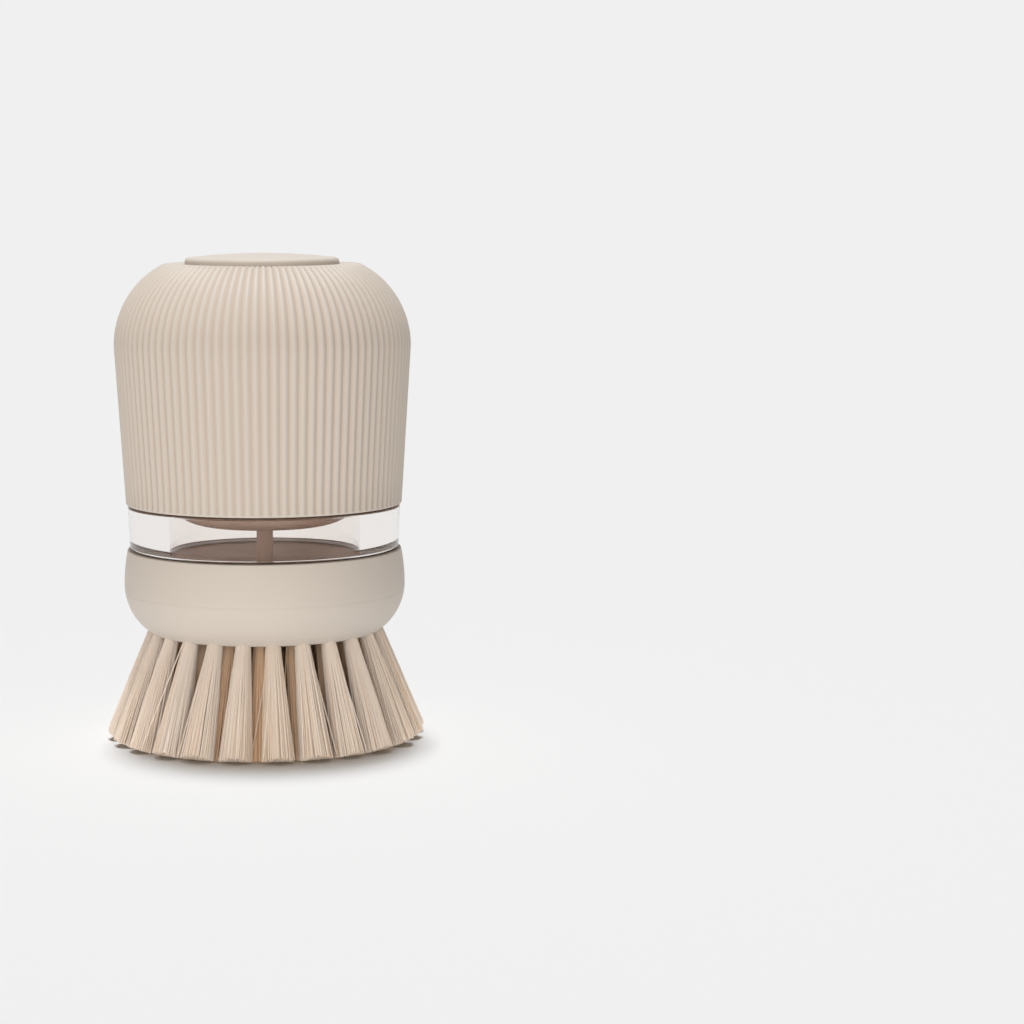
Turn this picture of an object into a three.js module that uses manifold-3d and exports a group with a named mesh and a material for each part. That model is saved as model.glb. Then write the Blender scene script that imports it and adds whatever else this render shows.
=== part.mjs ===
// Soap dispensing dish brush: a ribbed palm grip with a push button, a clear soap ring
// and a round brush head with a spring valve over its soap outlet.
// Millimetres, +Z up, origin on the axis at the bristle tips.

import * as THREE from 'three';
import { mergeVertices } from 'three/addons/utils/BufferGeometryUtils.js';
import Module from 'manifold-3d';

const wasm = await Module();
wasm.setup();

// Clearances
const seatGap = 0.3; // between pieces that sit on each other
const runGap = 0.3; // between pieces that slide in each other
const cutMargin = 1; // how far a cut runs past the faces it opens

// Base: brush block below the split line, collar above it
const bristleLength = 27; // tips to the underside of the block
const blockHeight = 10.2; // underside of the block to the split line
const collarHeight = 10.5; // split line to the collar's top rim
const baseRadius = 34.9; // widest point of the base
const widestAboveSplit = 1.7;
const footDrawIn = 6.6; // how far the outline draws in at the block's underside
const rimDrawIn = 0.9; // how far the outline draws in at the collar's top rim
const rimRound = 0.4;
const collarWall = 3.6;
const spigotHeight = 3; // ring on the block that centres the collar
const spigotWall = 2;
const floorDrop = 0.2; // edge of the soap floor below the collar's top rim
const floorSlope = 9; // degrees that the soap floor falls towards the valve
const deckThickness = 1; // deck under the valve seat's flange
const outletRadius = 4.2; // soap outlet in the middle of the brush
const outletLip = 1.2;

// Tufts
const tuftSliceThickness = 2; // slice of backing that carries the tufts
const tuftRootRadius = 1.8;
const tuftTipRadius = 3.55;
const tuftEdge = 1.4; // from the outlet to the first tuft
const strandRootRadius = 0.55;
const strandTipRadius = 1; // a strand stands for a fanning wisp of filaments
const strandSides = 3;
const strandEmbed = 0.6;
const tuftPhase = 3.9; // degrees
const tuftRings = [
  { name: 'core_tufts', tufts: 6, strands: 4, lean: 3 },
  { name: 'inner_tufts', tufts: 12, strands: 4, lean: 7 },
  { name: 'middle_tufts', tufts: 18, strands: 4, lean: 12 },
  { name: 'outer_tufts', tufts: 24, strands: 7, lean: 18 },
]; // lean in degrees from upright

// Valve in the soap floor
const valveTravel = 3; // also the travel of the button
const seatBore = 4.2;
const seatBodyRadius = 7.7;
const seatFlangeRadius = 11.2;
const seatFlangeThickness = 1.2;
const seatReach = 0.5; // seat below the deck
const poppetSealThickness = 1.3;
const poppetRadius = 6.5;
const poppetThickness = 1.2;
const stemRadius = 1.6;
const pinRadius = 2.2;
const pinFlow = 1.2; // soap gap round the pin
const pinReach = 1; // pin into the cage floor
const cageRadius = 10.4;
const cageWall = 1.4;
const cageFloorThickness = 1.5;
const portRadius = 1.2;
const portCount = 6;
const valveSpringRadius = 4.2; // middle of the wire
const valveWireRadius = 0.3;
const valveSpringTurns = 3;

// Clear soap ring
const bandHeight = 11.3; // clear band between collar and grip
const bandInset = 0.6; // step from the collar's rim in to the ring
const bandFlare = 0.5; // ring's radius grows by this towards the grip
const clearWall = 9.8;
const neckStep = 4; // from the ring in to the neck that the grip screws on
const neckHeight = 7.3;
const gasketThickness = 1.2;
const gasketWidth = 4;
const gasketInset = 2.9; // from the bore out to the gasket

// Grip
const gripHeight = 59.4; // rim to the flat land on top
const rimOverhang = 0.35; // grip's rim past the clear ring
const gripSwell = 2.45; // from the rim's radius to the widest radius
const domeHeight = 20.2; // widest point to the land
const domeReach = 21.6;
const domeOverrun = 2.1; // the dome's curve cut off by the land
const ribCount = 98;
const ribDepth = 0.42;
const shellWall = 2.2;
const coreInset = 0.6; // core's lower edge above the rim
const coreSkirt = 6; // core above its ledge
const coreWall = 1.6;
const ledgeThickness = 2;
const ledgeWidth = 6;

// Lid of the soap ring
const lidSealThickness = 1;
const lidFlangeThickness = 3;
const lidWall = 1.8;
const plugDepth = 8.4; // flange to the underside of the plug
const dishDepth = 5.2; // dished boss below the plug
const dishStep = 3.3; // from the plug in to the dished boss
const dishFlare = 7; // from the boss's flat foot out to its top
const wiperWall = 1.7;
const wiperHeight = 4.9;
const wiperLip = 1.5; // floor under the wiper

// Button, rod and guide
const landWidth = 4.9; // flat land round the button
const buttonProud = 1.5; // edge of the button above the land
const buttonCrown = 1.1; // middle of the button above its edge
const buttonRound = 0.6;
const buttonThickness = 2.2;
const skirtWall = 2.2;
const buttonFlange = 1.8; // reach and thickness of the flange that stops the button
const retainerThickness = 2.2;
const rodRadius = 2.05;
const rodReach = 0.6; // rod into the valve seat
const bossWall = 2;
const bossLength = 9;
const cupWall = 1.6;
const cupDepth = 17;
const cupHeadroom = 1.5; // cup below the pressed button
const towerStep = 3.6; // from the cup in to the tower under it
const guideFlangeThickness = 2;
const returnSpringRadius = 9.5; // middle of the wire
const returnWireRadius = 0.6;
const returnSpringTurns = 6;

// Screws that hold guide, core and lid
const screwCount = 3;
const screwRadius = 1.2;
const screwHeadRadius = 2.3;
const screwHeadHeight = 1.6;
const screwBite = 2; // into the lid's flange

// Facets
const bigSides = 40;
const gripCavitySides = 40;
const innerSides = 24;
const smallSides = 16;
const holeSides = 10; // screws and round holes
const outlineSteps = 4;
const domeSteps = 5;
const dishSteps = 3;
const crownSteps = 3;
const ribPoints = 3; // points along the section of one rib
const coilSteps = 8;
const coilSides = 5;

// Levels, from the bristle tips up
const blockBottom = bristleLength;
const blockBase = blockBottom + tuftSliceThickness + seatGap;
const cageLedge = blockBase + outletLip;
const splitLine = blockBottom + blockHeight;
const widestLevel = splitLine + widestAboveSplit;
const collarTop = splitLine + collarHeight;
const gripRim = collarTop + bandHeight;
const neckTop = gripRim - seatGap + neckHeight;
const lidSealBottom = neckTop + seatGap;
const lidBottom = lidSealBottom + lidSealThickness + seatGap;
const lidTop = lidBottom + lidFlangeThickness;
const ledgeBottom = lidTop + seatGap;
const ledgeTop = ledgeBottom + ledgeThickness;
const guideBottom = ledgeTop + seatGap;
const guideFlangeTop = guideBottom + guideFlangeThickness;
const plugBottom = lidBottom - plugDepth;
const dishBottom = plugBottom - dishDepth;
const landTop = gripRim + gripHeight;
const landBottom = landTop - shellWall;
const domeStart = landTop - domeHeight;
const retainerTop = landBottom - seatGap;
const retainerBottom = retainerTop - retainerThickness;
const flangeTop = retainerBottom - seatGap;
const buttonEdge = landTop + buttonProud;
const buttonUnderside = buttonEdge - buttonThickness;
const cupTop = buttonUnderside - valveTravel - cupHeadroom;
const cupFloor = cupTop - cupDepth;
const rodTop = buttonUnderside - seatGap;

// Radii that several pieces share
const collarInner = baseRadius - collarWall;
const ringFootRadius = baseRadius - rimDrawIn - bandInset;
const ringTopRadius = ringFootRadius + bandFlare;
const soapBore = ringFootRadius - clearWall;
const seatRecess = seatFlangeRadius + seatGap;
const neckRadius = ringTopRadius - neckStep;
const rimRadius = ringTopRadius + rimOverhang;
const gripRadius = rimRadius + gripSwell;
const coreBore = neckRadius + runGap;
const lidFlangeRadius = coreBore - seatGap;
const ledgeBore = coreBore - ledgeWidth;
const rodBore = rodRadius + runGap;
const buttonHole = domeArc(0).at(-1)[0] - landWidth;
const buttonRadius = buttonHole - runGap;
const skirtBore = buttonRadius - skirtWall;
const cupRadius = skirtBore - runGap;
const towerRadius = cupRadius - towerStep;
const screwCircle = (ledgeBore + coreBore) / 2;
const screwHoles = { count: screwCount, circle: screwCircle, radius: screwRadius + seatGap };

// Levels that follow the slope of the soap floor
const seatFlangeBottom = soapFloor(seatFlangeRadius) - seatFlangeThickness;
const seatRecessFloor = seatFlangeBottom - seatGap;
const deckBottom = seatRecessFloor - deckThickness;
const rodEnd = soapFloor(seatBore) - rodReach;

// Finishes
const creamPlastic = { color: 0xdccdbd, roughness: 0.55, metalness: 0 };
const bristleFibre = { color: 0xcfb79f, roughness: 0.6, metalness: 0 };
const clearPlastic = { color: 0xf0e4e2, roughness: 0.06, metalness: 0, transparent: true, opacity: 0.35 };
const innerPlastic = { color: 0xc4a693, roughness: 0.5, metalness: 0 };
const seal = { color: 0xb9aaa0, roughness: 0.8, metalness: 0 };
const steel = { color: 0xb8bcc0, roughness: 0.3, metalness: 1 };

const brush = new THREE.Group();

function addPiece(name, geometry, finish) {
  const mesh = new THREE.Mesh(geometry, new THREE.MeshStandardMaterial(finish));
  mesh.name = name;
  brush.add(mesh);
  return mesh;
}

// Merges shared points and drops the empty triangles at the poles of a revolved shape.
function closedGeometry(geometry) {
  const bare = geometry.clone();
  bare.deleteAttribute('normal');
  bare.deleteAttribute('uv');
  const merged = mergeVertices(bare);
  const corners = merged.index.array;
  const kept = [];
  for (let i = 0; i < corners.length; i += 3) {
    const [a, b, c] = corners.slice(i, i + 3);
    if (a !== b && b !== c && c !== a) kept.push(a, b, c);
  }
  merged.setIndex(kept);
  return merged;
}

function toManifold(geometry) {
  const closed = closedGeometry(geometry);
  return new wasm.Manifold(
    new wasm.Mesh({
      numProp: 3,
      vertProperties: new Float32Array(closed.attributes.position.array),
      triVerts: new Uint32Array(closed.index.array),
    }),
  );
}

function toGeometry(manifold) {
  const mesh = manifold.getMesh();
  const geometry = new THREE.BufferGeometry();
  geometry.setAttribute('position', new THREE.BufferAttribute(mesh.vertProperties, 3));
  geometry.setIndex(new THREE.BufferAttribute(mesh.triVerts, 1));
  return geometry;
}

// Revolves an outline of [radius, height] points about Z. The outline runs up its outer side.
function revolve(outline, sides) {
  const points = outline.map(([radius, height]) => new THREE.Vector2(radius, height));
  return closedGeometry(new THREE.LatheGeometry(points, sides).rotateX(Math.PI / 2));
}

function revolveRing(outline, sides) {
  return revolve([...outline, outline[0]], sides);
}

// A plain flat ring, such as a washer
function ring(inner, outer, bottom, top, sides) {
  const outline = [[inner, bottom], [outer, bottom], [outer, top], [inner, top]];
  return revolveRing(outline, sides);
}

function cutter(radius, bottom, top, x, y) {
  const outline = [[0, bottom], [radius, bottom], [radius, top], [0, top]];
  return toManifold(revolve(outline, holeSides).translate(x, y, 0));
}

// Cuts round holes on a circle out of a piece.
function cutHoles(geometry, { count, circle, radius }, bottom, top) {
  let cut = toManifold(geometry);
  for (const [x, y] of circlePoints(count, circle)) {
    cut = cut.subtract(cutter(radius, bottom, top, x, y));
  }
  return toGeometry(cut);
}

function circlePoints(count, circle) {
  return Array.from({ length: count }, (_, i) => {
    const angle = (2 * Math.PI * i) / count;
    return [circle * Math.cos(angle), circle * Math.sin(angle)];
  });
}

// How far an arc has drawn in after a distance, if it draws in by drawIn over its whole length
function arcDrawIn(distance, length, drawIn) {
  const radius = (length ** 2 + drawIn ** 2) / (2 * drawIn);
  return radius - Math.sqrt(radius ** 2 - distance ** 2);
}

function baseOutline(level) {
  if (level < widestLevel) {
    return baseRadius - arcDrawIn(widestLevel - level, widestLevel - blockBottom, footDrawIn);
  }
  return baseRadius - arcDrawIn(level - widestLevel, collarTop - widestLevel, rimDrawIn);
}

function baseArc(from, to) {
  return Array.from({ length: outlineSteps + 1 }, (_, i) => {
    const level = from + ((to - from) * i) / outlineSteps;
    return [baseOutline(level), level];
  });
}

// Level of the funnel-shaped soap floor at a radius
function soapFloor(radius) {
  const fall = Math.tan(THREE.MathUtils.degToRad(floorSlope));
  return collarTop - floorDrop - (soapBore - radius) * fall;
}

// Upper half of the base, with the soap floor, the gasket's groove and the valve seat's recess
function baseCollar() {
  const grooveInner = soapBore + gasketInset - seatGap;
  const grooveOuter = grooveInner + gasketWidth + 2 * seatGap;
  const grooveFloor = collarTop - gasketThickness - seatGap;
  const seatHole = seatBodyRadius + seatGap;
  const outline = [
    [seatHole, deckBottom],
    [collarInner, deckBottom],
    [collarInner, splitLine],
    ...baseArc(splitLine, collarTop - rimRound),
    [baseOutline(collarTop) - rimRound, collarTop],
    [grooveOuter, collarTop],
    [grooveOuter, grooveFloor],
    [grooveInner, grooveFloor],
    [grooveInner, collarTop],
    [soapBore, collarTop],
    [soapBore, soapFloor(soapBore)],
    [seatRecess, soapFloor(seatRecess)],
    [seatRecess, seatRecessFloor],
    [seatHole, seatRecessFloor],
  ];
  return revolveRing(outline, bigSides);
}

// Lower half of the base, with the valve cage's pocket and the soap outlet
function brushBlock() {
  const pocket = cageRadius + seatGap;
  const spigotRadius = collarInner - seatGap;
  const outline = [
    [outletRadius, blockBase],
    ...baseArc(blockBase, splitLine),
    [spigotRadius, splitLine],
    [spigotRadius, splitLine + spigotHeight],
    [spigotRadius - spigotWall, splitLine + spigotHeight],
    [spigotRadius - spigotWall, splitLine],
    [pocket, splitLine],
    [pocket, cageLedge],
    [outletRadius, cageLedge],
  ];
  return revolveRing(outline, bigSides);
}

// One strand from its root in the backing to its tip, cut level at height zero
function strand(root, tip) {
  const length = bristleLength + strandEmbed;
  const run = new THREE.Vector3(root.x - tip.x, root.y - tip.y, bristleLength);
  const slope = run.divideScalar(bristleLength);
  const geometry = new THREE.CylinderGeometry(strandRootRadius, strandTipRadius, length, strandSides);
  geometry.rotateX(Math.PI / 2).translate(0, 0, length / 2);
  const across = new THREE.Vector3(1, 0, 0);
  const along = new THREE.Vector3(0, 1, 0);
  const shear = new THREE.Matrix4().makeBasis(across, along, slope);
  shear.setPosition(tip.x, tip.y, 0);
  return geometry.applyMatrix4(shear);
}

// A tuft: one strand in the middle and the others round it, fanning out towards the tips
function tuftStrands(ringRadius, strands, lean) {
  const rootCircle = tuftRootRadius - strandRootRadius;
  const tipCircle = tuftTipRadius - strandTipRadius;
  const shift = bristleLength * Math.tan(THREE.MathUtils.degToRad(lean));
  const places = [[0, 0], ...circlePoints(strands - 1, 1)];
  return places.map(([x, y]) =>
    strand(
      new THREE.Vector2(ringRadius + rootCircle * x, rootCircle * y),
      new THREE.Vector2(ringRadius + shift + tipCircle * x, tipCircle * y),
    ),
  );
}

// A ring of tufts, fused to its own slice of the backing
function tuftRing({ tufts, strands, lean }, ringRadius, slice) {
  let joined = toManifold(slice);
  const oneTuft = tuftStrands(ringRadius, strands, lean);
  for (let i = 0; i < tufts; i += 1) {
    const angle = THREE.MathUtils.degToRad(tuftPhase) + (2 * Math.PI * i) / tufts;
    for (const one of oneTuft) {
      joined = joined.add(toManifold(one.clone().rotateZ(angle)));
    }
  }
  return toGeometry(joined);
}

// Concentric rings of tufts from the outlet to the base's foot
function addTufts() {
  const sliceTop = blockBottom + tuftSliceThickness;
  const firstRing = outletRadius + tuftEdge + tuftRootRadius;
  const lastRing = baseOutline(blockBottom) - tuftRootRadius;
  const pitch = (lastRing - firstRing) / (tuftRings.length - 1);
  let inner = outletRadius;
  tuftRings.forEach((tuftRow, i) => {
    const ringRadius = firstRing + pitch * i;
    const outermost = i === tuftRings.length - 1;
    const outer = ringRadius + pitch / 2 - seatGap / 2;
    const foot = outermost ? baseOutline(blockBottom) : outer;
    const shoulder = outermost ? baseOutline(sliceTop) : outer;
    const outline = [[inner, blockBottom], [foot, blockBottom], [shoulder, sliceTop], [inner, sliceTop]];
    const slice = revolveRing(outline, outermost ? bigSides : innerSides);
    addPiece(tuftRow.name, tuftRing(tuftRow, ringRadius, slice), bristleFibre);
    inner = outer + seatGap;
  });
}

// A coil spring between two levels, as one tube
function coil(bottom, top, radius, wireRadius, turns) {
  class Helix extends THREE.Curve {
    getPoint(share, target = new THREE.Vector3()) {
      const angle = 2 * Math.PI * turns * share;
      const rise = top - bottom - 2 * wireRadius;
      const level = bottom + wireRadius + rise * share;
      return target.set(radius * Math.cos(angle), radius * Math.sin(angle), level);
    }
  }
  const section = new THREE.Shape(
    circlePoints(coilSides, wireRadius).map(([x, y]) => new THREE.Vector2(x, y)),
  );
  const geometry = new THREE.ExtrudeGeometry(section, {
    steps: turns * coilSteps,
    extrudePath: new Helix(),
  });
  return closedGeometry(geometry);
}

// Bush in the soap floor that the poppet closes from below
function valveSeat() {
  const outline = [
    [seatBore, deckBottom - seatReach],
    [seatBodyRadius, deckBottom - seatReach],
    [seatBodyRadius, seatFlangeBottom],
    [seatFlangeRadius, seatFlangeBottom],
    [seatFlangeRadius, soapFloor(seatFlangeRadius)],
    [seatBore, soapFloor(seatBore)],
  ];
  return revolveRing(outline, smallSides);
}

// Cup that holds the valve spring, with ports in its floor
function valveCage() {
  const bottom = cageLedge + seatGap;
  const floor = bottom + cageFloorThickness;
  const top = deckBottom - seatGap;
  const inner = cageRadius - cageWall;
  const pinHole = pinRadius + pinFlow;
  const outline = [
    [pinHole, bottom],
    [cageRadius, bottom],
    [cageRadius, top],
    [inner, top],
    [inner, floor],
    [pinHole, floor],
  ];
  const portCircle = (pinHole + inner) / 2;
  const portHoles = { count: portCount, circle: portCircle, radius: portRadius };
  return cutHoles(revolveRing(outline, innerSides), portHoles, bottom - cutMargin, floor + cutMargin);
}

// Poppet, its seal above it and the spring under it, stacked down from the valve seat
function addValve() {
  const cageFloor = cageLedge + seatGap + cageFloorThickness;
  const sealTop = deckBottom - seatReach - seatGap;
  const sealBottom = sealTop - poppetSealThickness;
  const poppetTop = sealBottom - seatGap;
  const poppetBottom = poppetTop - poppetThickness;
  const poppet = [
    [0, cageFloor - pinReach],
    [pinRadius, cageFloor - pinReach],
    [pinRadius, poppetBottom],
    [poppetRadius, poppetBottom],
    [poppetRadius, poppetTop],
    [stemRadius, poppetTop],
    [stemRadius, rodEnd - seatGap],
    [0, rodEnd - seatGap],
  ];
  const springBottom = cageFloor + seatGap;
  const springTop = poppetBottom - seatGap;
  const spring = coil(springBottom, springTop, valveSpringRadius, valveWireRadius, valveSpringTurns);
  addPiece('valve_poppet', revolve(poppet, smallSides), innerPlastic);
  addPiece('poppet_seal', ring(stemRadius + seatGap, poppetRadius, sealBottom, sealTop, smallSides), seal);
  addPiece('valve_spring', spring, steel);
}

// Thick clear ring with the neck that the grip screws on
function clearReservoir() {
  const bottom = collarTop + seatGap;
  const shoulder = gripRim - seatGap;
  const outline = [
    [soapBore, bottom],
    [ringFootRadius, bottom],
    [ringTopRadius, shoulder],
    [neckRadius, shoulder],
    [neckRadius, neckTop],
    [soapBore, neckTop],
  ];
  return revolveRing(outline, bigSides);
}

function reservoirGasket() {
  const inner = soapBore + gasketInset;
  return ring(inner, inner + gasketWidth, collarTop - gasketThickness, collarTop, innerSides);
}

// Points of the dome's outline, from its widest level to the land, at a depth under the surface
function domeArc(depth) {
  const reach = domeReach - depth;
  const rise = domeHeight + domeOverrun - depth;
  const end = Math.asin((domeHeight - depth) / rise);
  return Array.from({ length: domeSteps + 1 }, (_, i) => {
    const angle = (end * i) / domeSteps;
    return [gripRadius - domeReach + reach * Math.cos(angle), domeStart + rise * Math.sin(angle)];
  });
}

function gripWall(level) {
  const share = (level - gripRim) / (domeStart - gripRim);
  return rimRadius + gripSwell * share;
}

// Presses rounded ribs into the side of a revolved shape.
function pressRibs(geometry) {
  const position = geometry.attributes.position;
  for (let i = 0; i < position.count; i += 1) {
    const x = position.getX(i);
    const y = position.getY(i);
    const radius = Math.hypot(x, y);
    if (radius === 0) continue;
    const wave = Math.abs(Math.sin((ribCount * Math.atan2(x, -y)) / 2));
    const scale = 1 - (ribDepth * (1 - wave)) / radius;
    position.setXY(i, x * scale, y * scale);
  }
  return geometry;
}

// Ribbed shell of the grip, open below and holed for the button
function gripShell() {
  const outside = [
    [0, gripRim],
    [rimRadius, gripRim],
    ...domeArc(0),
    [0, landTop],
  ];
  const inside = [
    [0, gripRim - cutMargin],
    [rimRadius - shellWall, gripRim - cutMargin],
    [rimRadius - shellWall, gripRim],
    ...domeArc(shellWall),
    [buttonHole, landBottom],
    [buttonHole, landTop + cutMargin],
    [0, landTop + cutMargin],
  ];
  const body = toManifold(pressRibs(revolve(outside, ribCount * ribPoints)));
  return toGeometry(body.subtract(toManifold(revolve(inside, gripCavitySides))));
}

// Liner of the grip: thread zone round the neck, and a ledge for lid and guide
function gripCore() {
  const bottom = gripRim + coreInset;
  const top = ledgeTop + coreSkirt;
  const outside = (level) => gripWall(level) - shellWall - seatGap;
  const outline = [
    [coreBore, bottom],
    [outside(bottom), bottom],
    [outside(top), top],
    [outside(top) - coreWall, top],
    [outside(ledgeTop) - coreWall, ledgeTop],
    [ledgeBore, ledgeTop],
    [ledgeBore, ledgeBottom],
    [coreBore, ledgeBottom],
  ];
  const core = revolveRing(outline, gripCavitySides);
  return cutHoles(core, screwHoles, ledgeBottom - cutMargin, ledgeTop + cutMargin);
}

// Lid of the soap room: a plug in the bore, with a dished boss that carries the rod's wiper
function reservoirLid() {
  const plug = soapBore - runGap;
  const dishTop = plug - dishStep;
  const dishFoot = dishTop - dishFlare;
  const pocket = rodBore + wiperWall + seatGap;
  const sleeve = pocket + lidWall;
  const dishFloor = dishBottom + lidWall;
  const dish = (inset) =>
    Array.from({ length: dishSteps + 1 }, (_, i) => {
      const angle = (Math.PI / 2) * (i / dishSteps);
      const radius = dishFoot + dishFlare * Math.sin(angle) - inset;
      return [radius, plugBottom + inset - dishDepth * Math.cos(angle)];
    });
  const outline = [
    [rodBore, dishBottom],
    ...dish(0),
    [plug, plugBottom],
    [plug, lidBottom],
    [lidFlangeRadius, lidBottom],
    [lidFlangeRadius, lidTop],
    [plug - lidWall, lidTop],
    [plug - lidWall, plugBottom + lidWall],
    ...dish(lidWall).reverse(),
    [sleeve, dishFloor],
    [sleeve, dishBottom + wiperLip + wiperHeight + seatGap],
    [pocket, dishBottom + wiperLip + wiperHeight + seatGap],
    [pocket, dishBottom + wiperLip],
    [rodBore, dishBottom + wiperLip],
  ];
  const lid = revolveRing(outline, innerSides);
  return cutHoles(lid, screwHoles, lidTop - screwBite - seatGap, lidTop + cutMargin);
}

function lidSeal() {
  return ring(soapBore, neckRadius, lidSealBottom, lidSealBottom + lidSealThickness, innerSides);
}

function rodWiper() {
  const bottom = dishBottom + wiperLip + seatGap;
  return ring(rodBore, rodBore + wiperWall, bottom, bottom + wiperHeight - seatGap, smallSides);
}

// Tower on the core's ledge: a cup on top guides the button's skirt and seats the return spring
function buttonGuide() {
  const flange = coreBore;
  const outline = [
    [towerRadius - cupWall, guideBottom],
    [flange, guideBottom],
    [flange, guideFlangeTop],
    [towerRadius, guideFlangeTop],
    [towerRadius, cupFloor - cupWall],
    [cupRadius, cupFloor - cupWall],
    [cupRadius, cupTop],
    [cupRadius - cupWall, cupTop],
    [cupRadius - cupWall, cupFloor],
    [rodBore, cupFloor],
    [rodBore, cupFloor - cupWall],
    [towerRadius - cupWall, cupFloor - cupWall],
  ];
  const guide = revolveRing(outline, innerSides);
  return cutHoles(guide, screwHoles, guideBottom - cutMargin, guideFlangeTop + cutMargin);
}

function buttonRetainer() {
  const outer = domeArc(shellWall).at(-1)[0] - seatGap;
  return ring(buttonHole, outer, retainerBottom, retainerTop, innerSides);
}

// Crowned cap with a skirt, a flange that stops it and a boss that holds the rod
function pressButton() {
  const bossBottom = buttonUnderside - bossLength;
  const boss = rodBore + bossWall;
  const crown = Array.from({ length: crownSteps }, (_, i) => {
    const share = 1 - i / crownSteps;
    const radius = (buttonRadius - buttonRound) * share;
    return [radius, buttonEdge + buttonCrown * (1 - share ** 2)];
  });
  const outline = [
    [0, buttonUnderside],
    [rodBore, buttonUnderside],
    [rodBore, bossBottom],
    [boss, bossBottom],
    [boss, buttonUnderside],
    [skirtBore, buttonUnderside],
    [skirtBore, flangeTop - buttonFlange],
    [buttonRadius + buttonFlange, flangeTop - buttonFlange],
    [buttonRadius + buttonFlange, flangeTop],
    [buttonRadius, flangeTop],
    [buttonRadius, buttonEdge - buttonRound],
    ...crown,
    [0, buttonEdge + buttonCrown],
  ];
  return revolve(outline, bigSides);
}

function pushRod() {
  const outline = [[0, rodEnd], [rodRadius, rodEnd], [rodRadius, rodTop], [0, rodTop]];
  return revolve(outline, smallSides);
}

function addScrews() {
  const headBottom = guideFlangeTop + seatGap;
  const outline = [
    [0, lidTop - screwBite],
    [screwRadius, lidTop - screwBite],
    [screwRadius, headBottom],
    [screwHeadRadius, headBottom],
    [screwHeadRadius, headBottom + screwHeadHeight],
    [0, headBottom + screwHeadHeight],
  ];
  circlePoints(screwCount, screwCircle).forEach(([x, y], i) => {
    addPiece(`guide_screw_${i + 1}`, revolve(outline, holeSides), steel).position.set(x, y, 0);
  });
}

function returnSpring() {
  const bottom = cupFloor + seatGap;
  const top = buttonUnderside - seatGap;
  return coil(bottom, top, returnSpringRadius, returnWireRadius, returnSpringTurns);
}

addPiece('base_collar', baseCollar(), creamPlastic);
addPiece('brush_block', brushBlock(), creamPlastic);
addTufts();
addPiece('valve_seat', valveSeat(), innerPlastic);
addPiece('valve_cage', valveCage(), innerPlastic);
addValve();
addPiece('clear_reservoir', clearReservoir(), clearPlastic);
addPiece('reservoir_gasket', reservoirGasket(), seal);
addPiece('lid_seal', lidSeal(), seal);
addPiece('grip_shell', gripShell(), creamPlastic);
addPiece('grip_core', gripCore(), innerPlastic);
addPiece('reservoir_lid', reservoirLid(), innerPlastic);
addPiece('rod_wiper', rodWiper(), seal);
addPiece('button_guide', buttonGuide(), innerPlastic);
addPiece('button_retainer', buttonRetainer(), creamPlastic);
addPiece('return_spring', returnSpring(), steel);
addScrews();
addPiece('press_button', pressButton(), creamPlastic);
addPiece('push_rod', pushRod(), innerPlastic);

export default brush;
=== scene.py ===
"""Soap dispensing dish brush: ribbed grip with a push button, clear soap ring, base and bristles."""

import math
import random
from collections import namedtuple

import bmesh
import bpy
from bpy.props import FloatProperty, FloatVectorProperty, IntProperty, PointerProperty
from mathutils import Matrix, Vector


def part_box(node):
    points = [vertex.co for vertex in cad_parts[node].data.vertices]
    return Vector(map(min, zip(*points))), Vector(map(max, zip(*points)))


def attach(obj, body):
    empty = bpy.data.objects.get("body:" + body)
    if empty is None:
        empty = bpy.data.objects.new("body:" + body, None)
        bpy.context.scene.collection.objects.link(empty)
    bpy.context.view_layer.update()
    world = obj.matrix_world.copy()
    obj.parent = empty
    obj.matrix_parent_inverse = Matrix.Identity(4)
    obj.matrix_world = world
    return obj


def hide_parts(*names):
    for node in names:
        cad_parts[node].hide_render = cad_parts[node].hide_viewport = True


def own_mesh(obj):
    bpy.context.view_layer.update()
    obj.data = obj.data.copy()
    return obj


bl_info = {
    "name": "Soap Dispensing Dish Brush",
    "version": (1, 0, 0),
    "blender": (4, 5, 0),
    "location": "View3D > Sidebar > Dish Brush",
    "description": "Builds the visible pieces of a soap dispensing dish brush round its packed frame",
    "category": "Object",
}

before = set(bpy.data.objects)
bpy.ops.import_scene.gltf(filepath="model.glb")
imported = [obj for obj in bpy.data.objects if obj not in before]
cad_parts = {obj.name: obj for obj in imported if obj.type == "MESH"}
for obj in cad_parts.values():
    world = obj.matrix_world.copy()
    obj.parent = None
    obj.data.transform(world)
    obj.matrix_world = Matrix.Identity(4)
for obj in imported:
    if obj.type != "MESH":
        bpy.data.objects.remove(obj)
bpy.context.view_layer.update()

MM = 0.001

# Room between pieces that fit in each other
FIT_GAP = 0.3 * MM


def low(node):
    """Lowest level of a node of the frame."""
    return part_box(node)[0].z


def high(node):
    """Highest level of a node of the frame."""
    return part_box(node)[1].z


# Base
BRISTLE_LENGTH = 27 * MM
SPLIT_LINE = low("base_collar")
COLLAR_TOP = high("base_collar")
BASE_RADIUS = 34.9 * MM
WIDEST_ABOVE_SPLIT = 1.7 * MM
WIDEST_LEVEL = SPLIT_LINE + WIDEST_ABOVE_SPLIT
FOOT_DRAW_IN = 6.6 * MM
RIM_DRAW_IN = 0.9 * MM
COLLAR_INNER = 31.3 * MM
SPIGOT_RADIUS = 31 * MM
SPIGOT_WALL = 2 * MM
SPIGOT_TOP = high("brush_block")
SOAP_BORE = 23.6 * MM
SOAP_FLOOR_STEP = 0.2 * MM
SOAP_FLOOR_EDGE = COLLAR_TOP - SOAP_FLOOR_STEP
SOAP_FLOOR_ANGLE = math.radians(9)
GROOVE_INNER = 26.2 * MM
GROOVE_OUTER = 30.8 * MM
GROOVE_DEPTH = 1.5 * MM
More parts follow.
